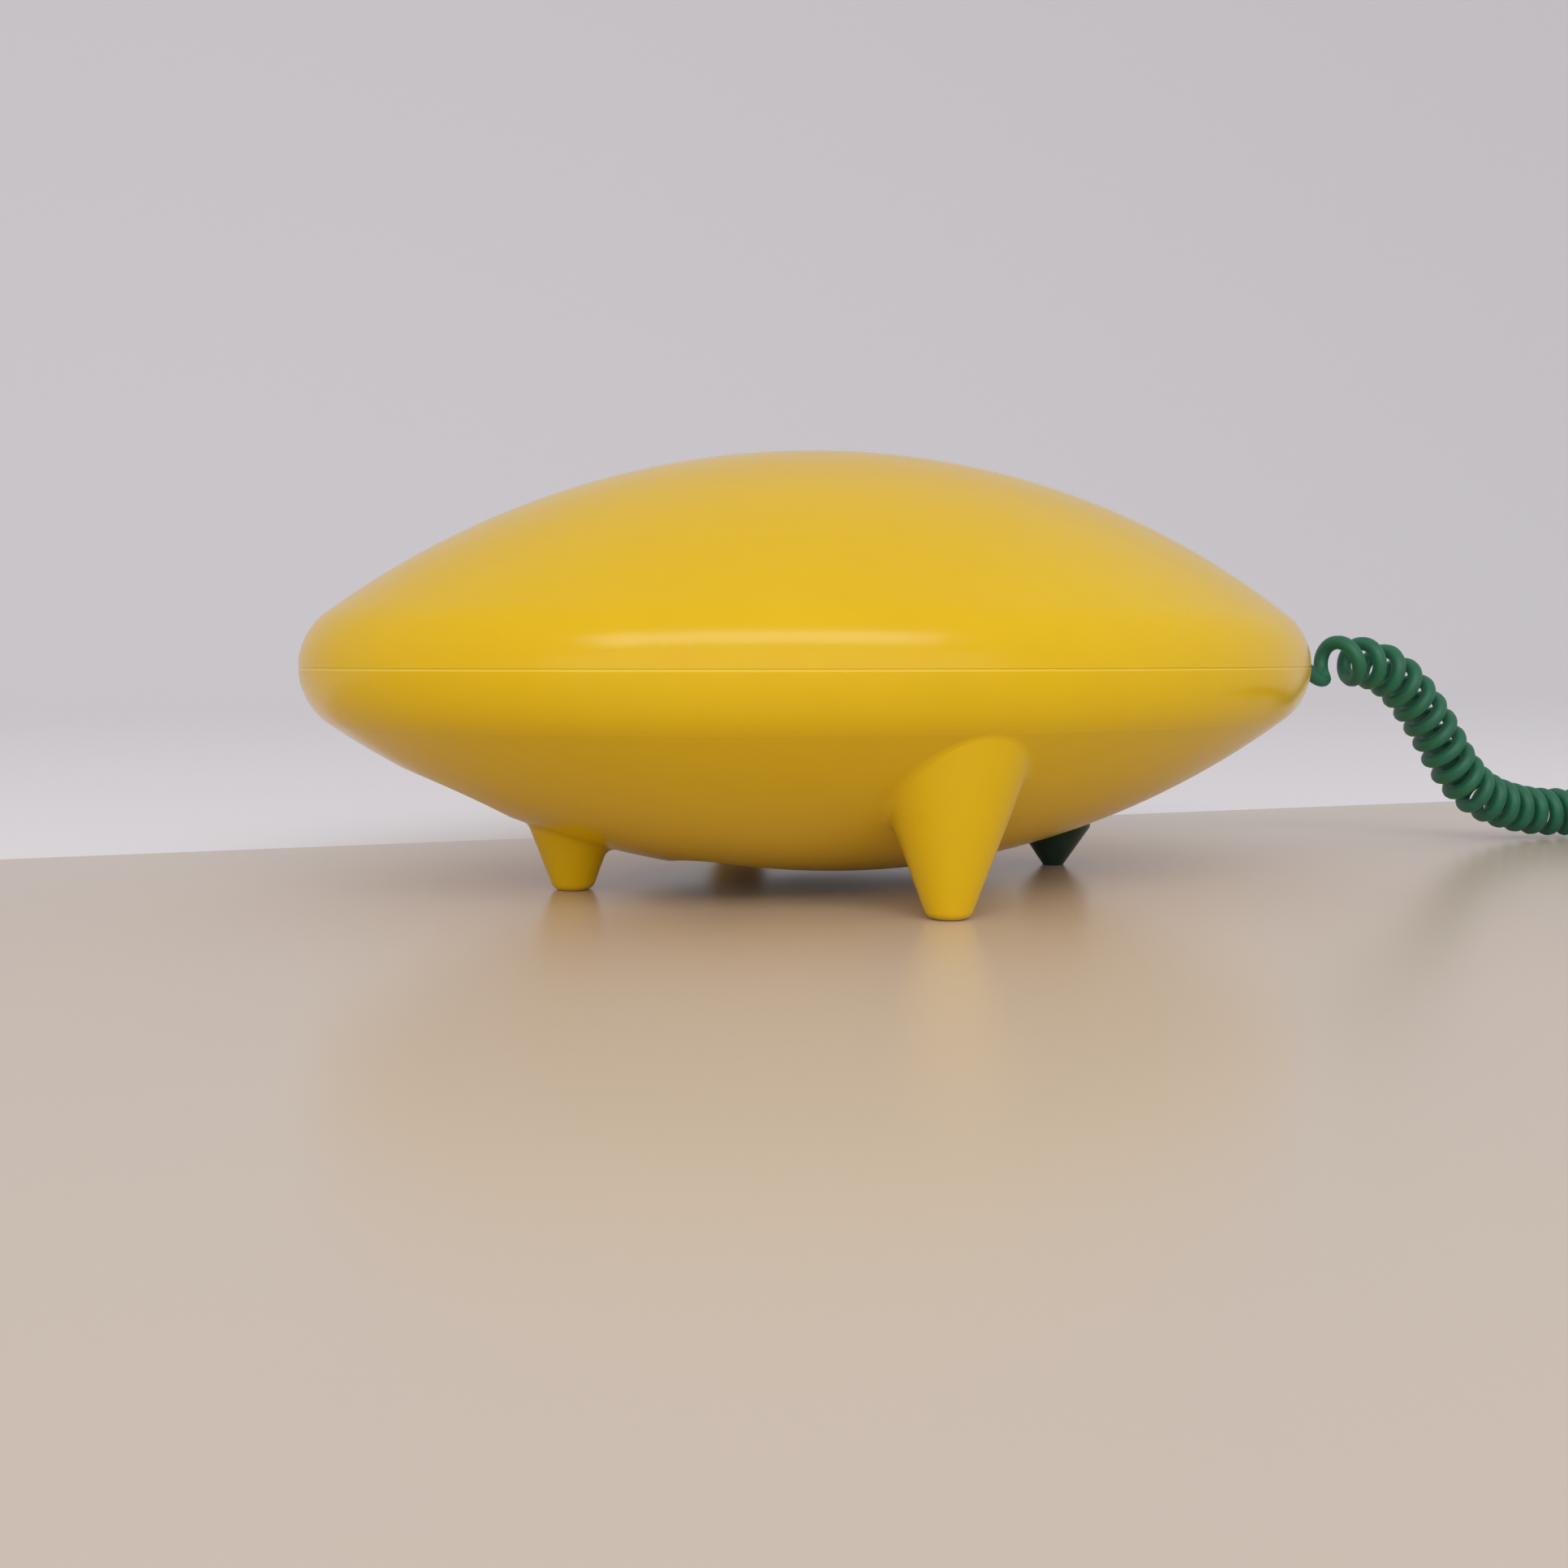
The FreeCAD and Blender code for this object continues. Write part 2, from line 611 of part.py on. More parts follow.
def make_dial_plate():
    """Plate over the well, with a hole for each key and a slot for each slide knob."""
    plate = well_block(WELL_RIM, DIAL_SEAT_Z, DIAL_TOP_Z)
    low = DIAL_SEAT_Z - WALL
    high = DIAL_TOP_Z + WALL
    key_length = KEY_LENGTH + 2 * RUNNING
    key_width = KEY_WIDTH + 2 * RUNNING
    slot_length = SLIDE_KNOB_LENGTH + 2 * RUNNING
    slot_width = SLIDE_KNOB_WIDTH + SLIDE_TRAVEL + 2 * RUNNING
    cuts = []
    for x, y in key_places().values():
        cuts.append(rounded_block(x, y, key_length, key_width, KEY_CORNER + RUNNING, low, high))
    for y in slide_places().values():
        cuts.append(block(SLIDE_X, y, slot_length, slot_width, low, high))
    return plate.cut(cuts)


def make_key_mat():
    length = KEYPAD_LENGTH + 2 * MAT_MARGIN
    width = KEYPAD_WIDTH + 2 * MAT_MARGIN
    sheet = rounded_block(KEYPAD_X, 0, length, width, KEY_CORNER, MAT_Z, BOARD_Z)
    domes = []
    for x, y in key_places().values():
        tip = DOME_RADIUS - DOME_HEIGHT
        domes.append(Part.makeCone(tip, DOME_RADIUS, DOME_HEIGHT, Vector(x, y, DOME_Z)))
    return fused([sheet] + domes)


def make_board():
    board = block(BOARD_MIDDLE_X, 0, BOARD_LENGTH, BOARD_WIDTH, BOARD_Z, BOARD_TOP_Z)
    holes = [post(x, y, SMALL_SCREW_RADIUS + FIT, 0, BOARD_TOP_Z + WALL) for x, y in board_screw_places()]
    return board.cut(holes)


def on_board(size, place):
    return block(BOARD_MIDDLE_X + place[0], place[1], size[0], size[1], BOARD_TOP_Z, BOARD_TOP_Z + size[2])


def make_capacitors():
    top = BOARD_TOP_Z + CAPACITOR_HEIGHT
    cans = [post(BOARD_MIDDLE_X + x, y, CAPACITOR_RADIUS, BOARD_TOP_Z, top) for x, y in CAPACITOR_PLACES]
    return Part.makeCompound(cans)


def make_slide_switch(y):
    return block(SLIDE_X, y, SLIDE_BODY_LENGTH, SLIDE_BODY_WIDTH, BOARD_Z - SLIDE_BODY_HEIGHT, BOARD_Z)


def make_slide_knob(y):
    """Knob at the start of its travel, under its switch."""
    low = DIAL_SEAT_Z - SLIDE_KNOB_REACH
    high = BOARD_Z - SLIDE_BODY_HEIGHT - RUNNING
    knob = block(SLIDE_X, y - SLIDE_TRAVEL / 2, SLIDE_KNOB_LENGTH, SLIDE_KNOB_WIDTH, low, high)
    lowest = [edge for edge in knob.Edges if edge.BoundBox.ZMax < low + FIT]
    return knob.makeChamfer(KEY_EDGE / 2, lowest)


def make_receiver():
    neck = RECEIVER_RADIUS - RECEIVER_NECK
    profile = [
        (0, RECEIVER_SEAT),
        (RECEIVER_RADIUS, RECEIVER_SEAT),
        (RECEIVER_RADIUS, RECEIVER_SEAT + RECEIVER_STEP),
        (neck, RECEIVER_SEAT + RECEIVER_STEP),
        (neck, RECEIVER_SEAT + RECEIVER_DEPTH),
        (0, RECEIVER_SEAT + RECEIVER_DEPTH),
    ]
    return placed(turned_piece(profile), belly_place(RECEIVER_X))


def make_receiver_holder():
    """Push-on cap that keeps the receiver in its cup."""
    inner = RECEIVER_RADIUS + RUNNING + CUP_WALL + FIT
    outer = inner + HOLDER_WALL
    low = RECEIVER_SEAT + HOLDER_LIFT
    lid = RECEIVER_SEAT + RECEIVER_DEPTH
    profile = [
        (HOLDER_HOLE, lid),
        (inner, lid),
        (inner, low),
        (outer, low),
        (outer, lid + HOLDER_WALL),
        (HOLDER_HOLE, lid + HOLDER_WALL),
    ]
    return placed(turned_piece(profile), belly_place(RECEIVER_X))


def make_microphone_boot():
    outer = MICROPHONE_RADIUS + BOOT_WALL
    low = MICROPHONE_SEAT
    floor = low + BOOT_FLOOR
    top = floor + MICROPHONE_DEPTH - BOOT_FLOOR
    profile = [(BOOT_HOLE, low), (outer, low), (outer, top), (MICROPHONE_RADIUS, top)]
    profile += [(MICROPHONE_RADIUS, floor), (BOOT_HOLE, floor)]
    return placed(turned_piece(profile), belly_place(MICROPHONE_X))


def make_microphone():
    low = MICROPHONE_SEAT + BOOT_FLOOR
    capsule = post(0, 0, MICROPHONE_RADIUS, low, low + MICROPHONE_DEPTH)
    return placed(capsule, belly_place(MICROPHONE_X))


def make_ringer():
    return post(RINGER_X, 0, RINGER_RADIUS, ringer_top() - RINGER_THICKNESS, ringer_top())


def make_bars():
    holes = [post(x, y, SMALL_SCREW_RADIUS + FIT, 0, 2 * SEAM_HEIGHT) for x, y in bar_screw_places()]
    bars = []
    for y in (-BAR_Y, BAR_Y):
        bar = block(0, y, BAR_LENGTH, BAR_WIDTH, BAR_SEAT_Z, BAR_SEAT_Z + BAR_HEIGHT)
        bars.append(bar.cut(holes))
    return Part.makeCompound(bars)


def small_screws(places, seat, grip):
    sizes = (SMALL_SCREW_RADIUS, grip + SMALL_SCREW_BITE, SMALL_HEAD_RADIUS, SMALL_HEAD_HEIGHT)
    return Part.makeCompound([screw(x, y, seat, -1, *sizes) for x, y in places])


def body_screws():
    seat = SEAM_HEIGHT - BODY_SCREW_SEAT
    sizes = (BODY_SCREW_RADIUS, BODY_SCREW_LENGTH, BODY_HEAD_RADIUS, BODY_HEAD_HEIGHT)
    return Part.makeCompound([screw(x, y, seat, 1, *sizes) for x, y in BODY_SCREW_PLACES])


def make_grommet():
    """Flange inside the wall, neck through it and a short tapered collar outside, turned about X."""
    inside = HALF_LENGTH - WALL - GROMMET_FLANGE_THICKNESS
    flange = inside - GROMMET_FLANGE_THICKNESS
    profile = [
        (0, flange),
        (GROMMET_FLANGE, flange),
        (GROMMET_FLANGE, inside),
        (GROMMET_NECK, inside),
        (GROMMET_NECK, HALF_LENGTH),
        (GROMMET_COLLAR, HALF_LENGTH),
        (GROMMET_COLLAR_END, GROMMET_FACE_X),
        (0, GROMMET_FACE_X),
    ]
    return turned_piece(profile, Vector(0, 0, SEAM_HEIGHT), Vector(1, 0, 0))


def route_points():
    """The cord's route: a straight start out of the grommet, then the chosen points."""
    start = Vector(GROMMET_FACE_X, 0, SEAM_HEIGHT)
    return [start] + [Vector(*point) for point in CORD_ROUTE]


def rounded_route(points):
    """Straight runs joined by arcs as large as the runs allow. Returns the edges and the radii."""
    edges = []
    radii = []
    last = points[0]
    for before, corner, after in zip(points, points[1:], points[2:]):
        back = before - corner
        ahead = after - corner
        reach = ROUTE_SHARE * min(back.Length, ahead.Length)
        back.normalize()
        ahead.normalize()
        half_inner = back.getAngle(ahead) / 2
        radius = reach * math.tan(half_inner)
        bisector = back + ahead
        bisector.normalize()
        middle = corner + bisector * (radius / math.sin(half_inner) - radius)
        first = corner + back * reach
        edges.append(Part.LineSegment(last, first).toShape())
        edges.append(Part.Arc(first, middle, corner + ahead * reach).toShape())
        last = corner + ahead * reach
        radii.append(radius)
    edges.append(Part.LineSegment(last, points[-1]).toShape())
    return edges, radii


def carried_frames(edges):
    """Length so far, point, normal and cross direction along the edges, in a frame that does not twist."""
    frames = []
    normal = Vector(0, 0, -1)
    along = 0.0
    for edge in edges:
        count = max(2, int(math.ceil(edge.Length / FRAME_STEP)))
        for index in range(count):
            where = edge.getParameterByLength(edge.Length * index / count)
            tangent = edge.tangentAt(where)
            normal = normal - tangent * normal.dot(tangent)
            normal.normalize()
            place = along + edge.Length * index / count
            frames.append((place, edge.valueAt(where), Vector(normal), tangent.cross(normal)))
        along += edge.Length
    last = edges[-1]
    frames.append((along, last.valueAt(last.LastParameter), frames[-1][2], frames[-1][3]))
    return frames


def between(places, values, place):
    """Value at a place in a rising list, read in a straight line between its neighbours."""
    index = min(max(bisect.bisect_right(places, place) - 1, 0), len(places) - 2)
    share = (place - places[index]) / (places[index + 1] - places[index])
    return values[index] * (1 - share) + values[index + 1] * share


def eased(value):
    value = min(max(value, 0.0), 1.0)
    return value * value * (3 - 2 * value)


def arc_through(start, tangent, end):
    """Arc from start, leaving along tangent, to end."""
    chord = end - start
    along = Vector(tangent)
    along.normalize()
    side = chord - along * chord.dot(along)
    if side.Length < 1e-6:
        return Part.LineSegment(start, end).toShape(), 1e9
    side.normalize()
    radius = chord.dot(chord) / (2 * chord.dot(side))
    centre = start + side * radius
    middle = (start + end) * 0.5 - centre
    if chord.dot(along) < 0:
        middle = middle * -1
    middle.normalize()
    return Part.Arc(start, centre + middle * radius, end).toShape(), radius


def biarc(start, start_tangent, end, end_tangent):
    """Two arcs that leave start and reach end along the given tangents."""
    gap = end - start
    both = start_tangent + end_tangent
    spread = 2 * (1 - start_tangent.dot(end_tangent))
    forward = gap.dot(both)
    if spread < 1e-9:
        reach = gap.dot(gap) / (4 * gap.dot(end_tangent))
    else:
        reach = (-forward + math.sqrt(forward * forward + spread * gap.dot(gap))) / spread
    joint = (start + start_tangent * reach + end - end_tangent * reach) * 0.5
    joint_tangent = (end - end_tangent * reach) - (start + start_tangent * reach)
    first, first_radius = arc_through(start, start_tangent, joint)
    second, second_radius = arc_through(joint, joint_tangent, end)
    return [first, second], min(first_radius, second_radius)


def curl_turns(places):
    """Angle of the curl at each place: open curls by the telephone and the plug, closer ones between."""
    turns = [0.0]
    end = places[-1] - PLUG_LEAD
    for here, there in zip(places, places[1:]):
        middle = (here + there) / 2
        from_end = min(middle - CORD_LEAD, end - middle)
        pitch = CURL_PITCH + (OPEN_PITCH - CURL_PITCH) * math.exp(-max(from_end, 0) / OPEN_REACH)
        winding = from_end > 0
        turns.append(turns[-1] + (2 * math.pi * (there - here) / pitch if winding else 0.0))
    whole = 2 * math.pi * round(turns[-1] / (2 * math.pi))
    return [turn * whole / turns[-1] for turn in turns]


def tube(path, start, heading, normal, wire):
    """Faceted tube of the given wire along a path."""
    across = heading.cross(normal)
    corners = []
    for side in range(WIRE_SIDES):
        angle = 2 * math.pi * side / WIRE_SIDES
        corners.append(start + normal * (wire / 2 * math.cos(angle)) + across * (wire / 2 * math.sin(angle)))
    section = Part.makePolygon(corners + [corners[0]])
    return Part.Wire(path).makePipeShell([section], True, False)


def make_cord():
    """One unbroken tube curled round the route, straight at both ends. Prints what it measures."""
    edges, radii = rounded_route(route_points())
    frames = carried_frames(edges)
    places = [frame[0] for frame in frames]
    middles, normals, acrosses = ([frame[index] for frame in frames] for index in (1, 2, 3))
    length = places[-1]
    turns = curl_turns(places)
    total = turns[-1]

    def place(s):
        opening = eased((s - CORD_LEAD) / CURL_EASE)
        closing = eased((length - PLUG_LEAD - s) / CURL_EASE)
        radius = CURL_RADIUS * min(opening, closing)
        turn = between(places, turns, s)
        out = between(places, normals, s) * math.cos(turn) + between(places, acrosses, s) * math.sin(turn)
        return between(places, middles, s) + out * radius

    def heading(s):
        direction = place(s + FRAME_STEP / 4) - place(s - FRAME_STEP / 4)
        direction.normalize()
        return direction

    quarter = math.pi / 2
    count = int(round(total / quarter))
    fine = 4 * int(math.ceil(2 * CURL_EASE / OPEN_PITCH))
    marks = [index for index in range(count + 1) if index % 2 == 0 or index < fine or index > count - fine]
    winding = [index for index in range(len(places)) if CORD_LEAD <= places[index] <= length - PLUG_LEAD]
    wound_turns = [turns[index] for index in winding]
    wound_places = [places[index] for index in winding]
    knots = [between(wound_turns, wound_places, mark * quarter) for mark in marks]
    knots[0] = CORD_LEAD
    knots[-1] = length - PLUG_LEAD
    start_heading = middles[1] - middles[0]
    end_heading = middles[-1] - middles[-2]
    start_heading.normalize()
    end_heading.normalize()
    headings = [start_heading] + [heading(knot) for knot in knots[1:-1]] + [end_heading]
    stops = [place(knot) for knot in knots]
    path = [Part.LineSegment(middles[0], stops[0]).toShape()]
    tightest = length
    for index in range(len(knots) - 1):
        arcs, radius = biarc(stops[index], headings[index], stops[index + 1], headings[index + 1])
        path += arcs
        tightest = min(tightest, radius)
    path.append(Part.LineSegment(stops[-1], middles[-1]).toShape())
    cord = tube(path, middles[0], start_heading, normals[0], WIRE)
    wire_length = sum(edge.Length for edge in path)
    print("cord route radii", [round(radius, 1) for radius in radii])
    print("curls", round(total / (2 * math.pi)), "route", round(length, 1), "wire", round(wire_length, 1))
    print("tightest arc", round(tightest, 2), "least gap", round(least_gap(path, WIRE), 2))
    share = cord.Volume / (wire_length * WIRE_SIDES * WIRE * WIRE / 8 * math.sin(2 * math.pi / WIRE_SIDES))
    print("volume over section times length", round(share, 4))
    return cord


def least_gap(path, wire):
    """Least free distance of the tube to itself, measured on points along its path."""
    points = []
    along = 0.0
    for edge in path:
        count = max(2, int(edge.Length / (wire / 3)))
        for index in range(count):
            reach = edge.Length * index / count
            points.append((along + reach, edge.valueAt(edge.getParameterByLength(reach))))
        along += edge.Length
    least = along
    for index, (place, point) in enumerate(points):
        for other_place, other in points[index + 1:]:
            if other_place - place > 3 * wire:
                least = min(least, point.distanceToPoint(other) - wire)
    return least


def make_spring():
    """Return spring between the plunger's flange and the tower's cap."""
    base = Vector(PLUNGER_X, PLUNGER_Y, SPRING_Z)
    low = SPRING_WIRE / 2 + RUNNING
    rise = (SPRING_SPACE - 2 * low) / (SPRING_TURNS * 2 * math.pi)

    def place(turn):
        out = Vector(math.cos(turn), math.sin(turn), 0) * SPRING_RADIUS
        return base + out + UP * (low + rise * turn)

    def heading(turn):
        direction = Vector(-SPRING_RADIUS * math.sin(turn), SPRING_RADIUS * math.cos(turn), rise)
        direction.normalize()
        return direction

    path = []
    for index in range(2 * SPRING_TURNS):
        here = math.pi * index
        there = here + math.pi
        path += biarc(place(here), heading(here), place(there), heading(there))[0]
    print("spring least gap", round(least_gap(path, SPRING_WIRE), 2))
    return tube(path, place(0), heading(0), Vector(1, 0, 0), SPRING_WIRE)


def make_plug():
    """Modular plug in line with the cord's end: a block with a spring latch and its root underneath."""
    points = route_points()
    ahead = points[-1] - points[-2]
    half = PLUG_HEIGHT / 2
    root_length = 2 * LATCH_THICKNESS
    latch_x = PLUG_LENGTH - LATCH_LENGTH / 2
    root_x = PLUG_LENGTH - root_length / 2
    latch_z = -half - LATCH_GAP
    body = block(PLUG_LENGTH / 2, 0, PLUG_LENGTH, PLUG_WIDTH, -half, half)
    root = block(root_x, 0, root_length, LATCH_WIDTH, latch_z, -half)
    latch = block(latch_x, 0, LATCH_LENGTH, LATCH_WIDTH, latch_z - LATCH_THICKNESS, latch_z)
    plug = fused([body, root, latch])
    plug.Placement = Placement(points[-1], Rotation(UP, math.degrees(math.atan2(ahead.y, ahead.x))))
    return plug


def build():
    """All nodes by name."""
    nodes = {
        "upper_shell": make_upper_shell(),
        "lower_shell": make_lower_shell(),
        "body_screws": body_screws(),
        "dial_plate": make_dial_plate(),
        "key_mat": make_key_mat(),
        "circuit_board": make_board(),
        "board_screws": small_screws(board_screw_places(), BOARD_TOP_Z, BOARD_THICKNESS),
        "dialler_chip": on_board(CHIP_SIZE, CHIP_PLACE),
        "line_coil": on_board(COIL_SIZE, COIL_PLACE),
        "capacitors": make_capacitors(),
        "receiver_capsule": make_receiver(),
        "receiver_holder": make_receiver_holder(),
        "microphone_boot": make_microphone_boot(),
        "microphone_capsule": make_microphone(),
        "ringer_disc": make_ringer(),
        "ballast_bars": make_bars(),
        "ballast_screws": small_screws(bar_screw_places(), BAR_SEAT_Z + BAR_HEIGHT, BAR_HEIGHT),
        "hook_plunger": make_plunger(),
        "hook_spring": make_spring(),
        "spring_cap": make_spring_cap(),
        "hook_switch": make_hook_switch(),
        "cord_grommet": make_grommet(),
        "curly_cord": make_cord(),
        "line_plug": make_plug(),
    }
    for name, (x, y) in key_places().items():
        nodes["key_" + name] = make_key(x, y)
    for name, y in slide_places().items():
        nodes[name + "_switch"] = make_slide_switch(y)
        nodes[name + "_knob"] = make_slide_knob(y)
    return nodes


os.makedirs("parts", exist_ok=True)
for node, shape in build().items():
    shape.exportStep("parts/%s.step" % node)
    print(node, shape.isValid(), len(shape.Solids), round(shape.Volume / 1000, 2), "cm3")
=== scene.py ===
"""Finish of a lemon-shaped one-piece telephone with satin yellow shells, green keys and a curly cord.

Sizes are in millimetres and are turned into metres where a mesh or curve is made.
Colours are linear red, green and blue, and the scales of noise are per metre.
"""
import json
import math

import bpy
import numpy as np
from mathutils import Matrix, Vector


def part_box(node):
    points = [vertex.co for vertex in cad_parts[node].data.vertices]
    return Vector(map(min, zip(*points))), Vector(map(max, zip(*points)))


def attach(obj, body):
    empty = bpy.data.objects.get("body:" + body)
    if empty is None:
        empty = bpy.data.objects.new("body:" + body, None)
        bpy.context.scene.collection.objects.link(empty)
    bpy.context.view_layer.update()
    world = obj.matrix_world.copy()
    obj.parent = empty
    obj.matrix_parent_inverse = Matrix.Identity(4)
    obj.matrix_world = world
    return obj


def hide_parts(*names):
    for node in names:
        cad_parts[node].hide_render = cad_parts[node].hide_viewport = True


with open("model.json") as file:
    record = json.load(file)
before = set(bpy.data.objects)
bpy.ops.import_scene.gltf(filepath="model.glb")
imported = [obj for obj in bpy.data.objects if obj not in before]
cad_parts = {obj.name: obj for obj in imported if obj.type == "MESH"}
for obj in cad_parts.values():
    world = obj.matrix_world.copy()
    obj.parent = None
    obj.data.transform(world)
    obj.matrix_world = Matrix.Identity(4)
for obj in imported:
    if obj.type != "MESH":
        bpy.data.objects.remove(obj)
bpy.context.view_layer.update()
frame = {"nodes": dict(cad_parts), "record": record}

MM = 0.001
SEAM_HEIGHT = 43.7

# Cord: its jacket, its curls, and how they open towards both ends
WIRE = 3.3
CURL_OUTSIDE = 12.2
CURL_PITCH = 4.95
OPEN_PITCH = 8.0
OPEN_REACH = 14.0
CURL_EASE = 6.0
CURL_LEAN = 0.3
CORD_LEAD = 17.5
PLUG_LEAD = 4.0

# Points that the wire is worked out on, and how finely its curves are drawn
FINE_POINTS = 12000
WIRE_STEP = 1.75
SPLINE_ORDER = 3
ROUTE_RESOLUTION = 40
WIRE_RESOLUTION = 2
WIRE_ROUNDNESS = 4

# Route of the cord's middle line, from the tip to the plug
CORD_EXIT = (106.4, 0.0, SEAM_HEIGHT)
CORD_ROUTE = (
    (131.0, 0.0, 45.6),
    (145.0, 0.0, 43.2),
    (157.0, 0.2, 31.5),
    (167.0, 1.0, 18.0),
    (176.0, 1.3, 10.8),
    (192.0, 2.0, 6.8),
    (205.0, 1.0, 6.5),
    (217.5, -7.0, 6.5),
    (221.0, -26.0, 6.5),
    (211.0, -46.0, 6.5),
    (196.0, -60.0, 6.5),
    (180.0, -74.0, 6.5),
)

# Keys: the facing turns a digit's front down and its top towards the earpiece
KEY_SIGNS = ("1", "2", "3", "4", "5", "6", "7", "8", "9", "0")
DIGIT_SIZE = 5.2
DIGIT_RAISE = 0.05
DIGIT_FACING = Matrix(((0, -1, 0), (-1, 0, 0), (0, 0, -1)))

# Camera, solved from the outline
CAMERA_PLACE = (-121.8, -303.28, 45.6)
CAMERA_AHEAD = (0.3471, 0.9378)
CAMERA_PITCH = math.radians(4.595)
CAMERA_NEAR = 10.0
SENSOR = 36.0
LENS = 36.04

# Stage
FLOOR_REACH = 4000.0
FLOOR_JOIN = 90.0
BACKDROP_PLACE = 2500.0
BACKDROP_BEND = 1500.0
BACKDROP_HEIGHT = 2600.0
BACKDROP_STEPS = 24

# Light
WORLD_COLOUR = (0.96, 0.96, 1.0, 1.0)
WORLD_STRENGTH = 0.62
LIGHT_TARGET = (0.0, 0.0, 45.0)
WINDOW_PLACE = (-285.0, -985.0, 787.0)
WINDOW_SIZE = (1400.0, 330.0)
WINDOW_WATTS = 5.6
FILL_PLACE = (-250.0, -900.0, 180.0)
FILL_SIZE = (1600.0, 400.0)
FILL_WATTS = 1.6

# Plastics: index of refraction, and the depth of a moulded surface's grain
PLASTIC_IOR = 1.5
GRAIN_DEPTH = 0.1

# Plain slots: two near tones and the least roughness
MOULDINGS = {
    "mat_rubber": ((0.20, 0.20, 0.21), (0.27, 0.27, 0.27), 0.55),
    "board_brown": ((0.30, 0.19, 0.07), (0.36, 0.24, 0.10), 0.4),
    "black_moulding": ((0.025, 0.025, 0.027), (0.04, 0.04, 0.04), 0.35),
    "inner_natural": ((0.72, 0.70, 0.62), (0.66, 0.63, 0.55), 0.35),
    "coil_copper": ((0.60, 0.42, 0.08), (0.52, 0.35, 0.06), 0.3),
}
METALS = {
    "bright_steel": ((0.62, 0.61, 0.58), (0.50, 0.50, 0.49), 0.22),
    "ballast_iron": ((0.22, 0.21, 0.20), (0.15, 0.14, 0.14), 0.4),
    "tin_can": ((0.66, 0.66, 0.67), (0.56, 0.56, 0.58), 0.25),
}


class Value:
    """One output of a material's nodes. Sums on it add Math nodes to the same material."""

    def __init__(self, finish, socket):
        self.finish = finish
        self.socket = socket

    def math(self, operation, first, second):
        return self.finish.node("ShaderNodeMath", {"operation": operation}, {0: first, 1: second})

    def __add__(self, other):
        return self.math("ADD", self, other)

    def __radd__(self, other):
        return self.math("ADD", other, self)

    def __sub__(self, other):
        return self.math("SUBTRACT", self, other)

    def __rsub__(self, other):
        return self.math("SUBTRACT", other, self)

    def __mul__(self, other):
        return self.math("MULTIPLY", self, other)

    def __gt__(self, other):
        return self.math("GREATER_THAN", self, other)

    def __abs__(self):
        return self.math("ABSOLUTE", self, 0.0)


class Finish:
    """A material and the nodes that make it."""

    def __init__(self, name):
        self.material = bpy.data.materials.new(name)
        self.material.use_nodes = True
        self.tree = self.material.node_tree
        self.shader = self.tree.nodes["Principled BSDF"]

    def node(self, kind, settings=None, inputs=None, output=0):
        """A new node with its settings, then the values or links of its sockets. Returns one output."""
        made = self.tree.nodes.new(kind)
        for name, value in (settings or {}).items():
            setattr(made, name, value)
        for name, value in (inputs or {}).items():
            self.give(made.inputs[name], value)
        return Value(self, made.outputs[output])

    def give(self, socket, value):
        """Links a node's output to a socket, or sets a plain value on it."""
        if isinstance(value, Value):
            self.tree.links.new(value.socket, socket)
        else:
            socket.default_value = value

    def surface(self, **inputs):
        """Sets the shader's inputs, named with underscores for spaces. Returns the material."""
        for name, value in inputs.items():
            self.give(self.shader.inputs[name.replace("_", " ")], value)
        return self.material

    def place(self):
        """Place on the piece, in metres, in the frame of the part."""
        return self.node("ShaderNodeTexCoord", output="Object")

    def noise(self, scale, detail=2.0, roughness=0.5):
        inputs = {"Vector": self.place(), "Scale": scale, "Detail": detail, "Roughness": roughness}
        return self.node("ShaderNodeTexNoise", None, inputs, "Fac")

    def cells(self, scale):
        """Distance to the nearest of many scattered points."""
        inputs = {"Vector": self.place(), "Scale": scale}
        return self.node("ShaderNodeTexVoronoi", None, inputs, "Distance")

    def mix(self, share, first, second):
        """The first colour where the share is 0, and the second where it is 1."""
        return self.node("ShaderNodeMix", {"data_type": "RGBA"}, {0: share, 6: first, 7: second}, 2)

    def axis(self, name):
        return self.node("ShaderNodeSeparateXYZ", None, {0: self.place()}, name)

    def clamped(self, value, low, high):
        """0 at low, 1 at high, in a straight line between."""
        inputs = {"Value": value, "From Min": low, "From Max": high}
        return self.node("ShaderNodeMapRange", None, inputs)

    def bump(self, height, strength, depth):
        inputs = {"Height": height, "Strength": strength, "Distance": depth * MM}
        return self.node("ShaderNodeBump", None, inputs)


def opaque(colour):
    return (*colour, 1.0)


